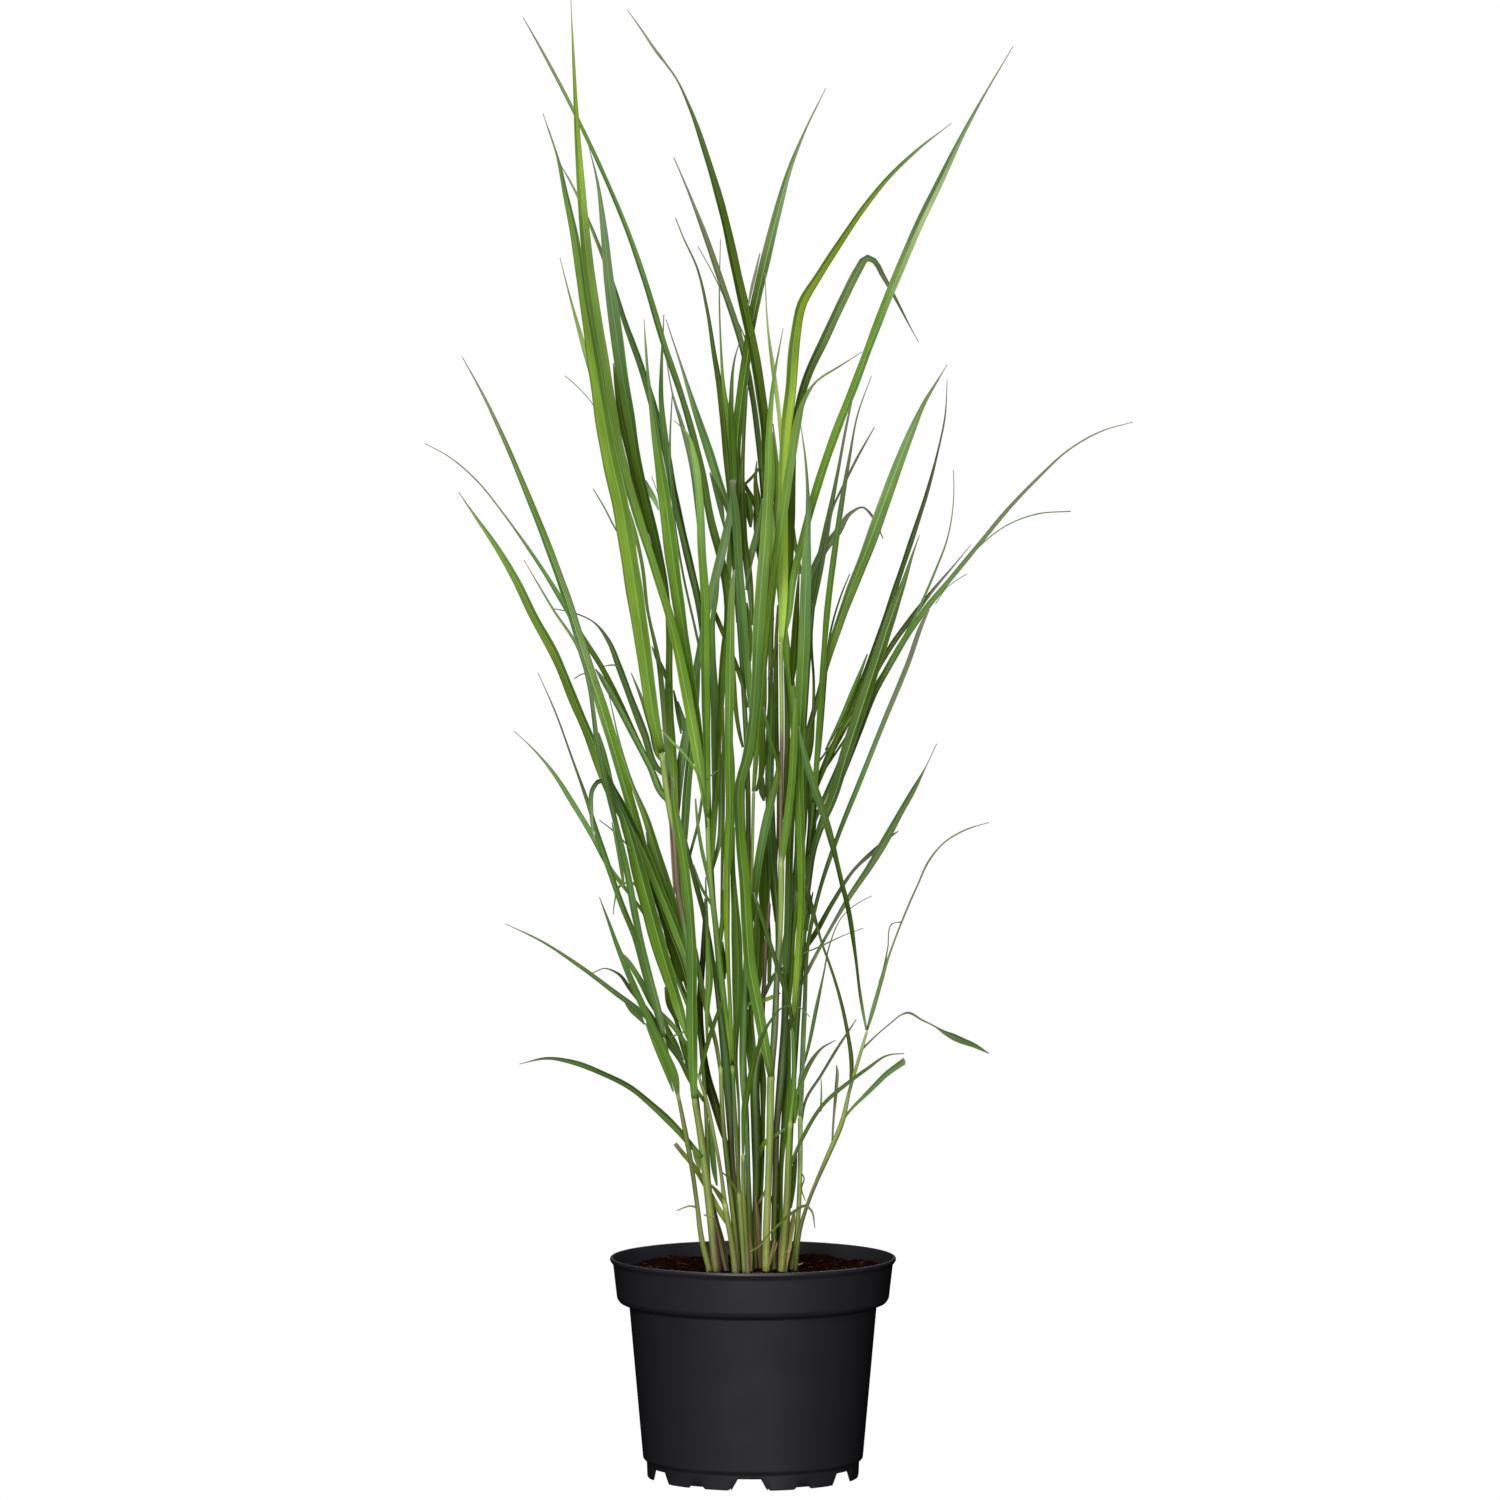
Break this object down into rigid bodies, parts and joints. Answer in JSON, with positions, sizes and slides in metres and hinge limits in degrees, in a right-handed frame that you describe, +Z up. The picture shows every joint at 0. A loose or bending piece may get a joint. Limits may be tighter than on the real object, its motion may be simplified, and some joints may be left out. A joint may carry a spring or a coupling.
{
  "type": "potted ornamental grass",
  "caption": "Upright clump of miscanthus grass, with long arching blades on slender culms, in a round black plastic nursery pot with a rolled rim and a notched foot.",
  "frame": {"origin": "on the ground, under the middle of the whole clump's bounding box; the pot's axis stands at x = -0.0166 m, y = 0", "axes": "+Z up, the pictured front faces -Y, +X to the viewer's right"},
  "size_m": [0.567, 0.3446, 1.179],
  "materials": {
    "pot_plastic": "satin black moulded polypropylene",
    "potting_soil": "dark fibrous peat and bark compost",
    "culm_green": "waxy green culms with purple-brown stretches",
    "blade_green": "satin ribbed leaf blades with a pale midrib"
  },
  "bodies": {
    "root": {"pot": "pot_plastic", "soil": "potting_soil", "stem_01": "culm_green", "stem_02": "culm_green", "stem_03": "culm_green", "stem_04": "culm_green", "stem_05": "culm_green", "stem_06": "culm_green", "stem_07": "culm_green", "stem_08": "culm_green", "stem_09": "culm_green", "stem_10": "culm_green", "stem_11": "culm_green", "stem_12": "culm_green", "stem_13": "culm_green", "stem_14": "culm_green", "stem_15": "culm_green", "stem_16": "culm_green", "stem_17": "culm_green", "stem_18": "culm_green", "stem_19": "culm_green", "stem_20": "culm_green", "stem_21": "culm_green", "leaf_01": "blade_green", "leaf_02": "blade_green", "leaf_03": "blade_green", "leaf_04": "blade_green", "leaf_05": "blade_green", "leaf_06": "blade_green", "leaf_07": "blade_green", "leaf_08": "blade_green", "leaf_09": "blade_green", "leaf_10": "blade_green", "leaf_11": "blade_green", "leaf_12": "blade_green", "leaf_13": "blade_green", "leaf_14": "blade_green", "leaf_15": "blade_green", "leaf_16": "blade_green", "leaf_17": "blade_green", "leaf_18": "blade_green", "leaf_19": "blade_green", "leaf_20": "blade_green", "leaf_21": "blade_green", "leaf_22": "blade_green", "leaf_23": "blade_green", "leaf_24": "blade_green", "leaf_25": "blade_green", "leaf_26": "blade_green", "leaf_27": "blade_green", "leaf_28": "blade_green", "leaf_29": "blade_green", "leaf_30": "blade_green", "leaf_31": "blade_green", "leaf_32": "blade_green", "leaf_33": "blade_green", "leaf_34": "blade_green", "leaf_35": "blade_green", "leaf_36": "blade_green"}
  },
  "joints": []
}
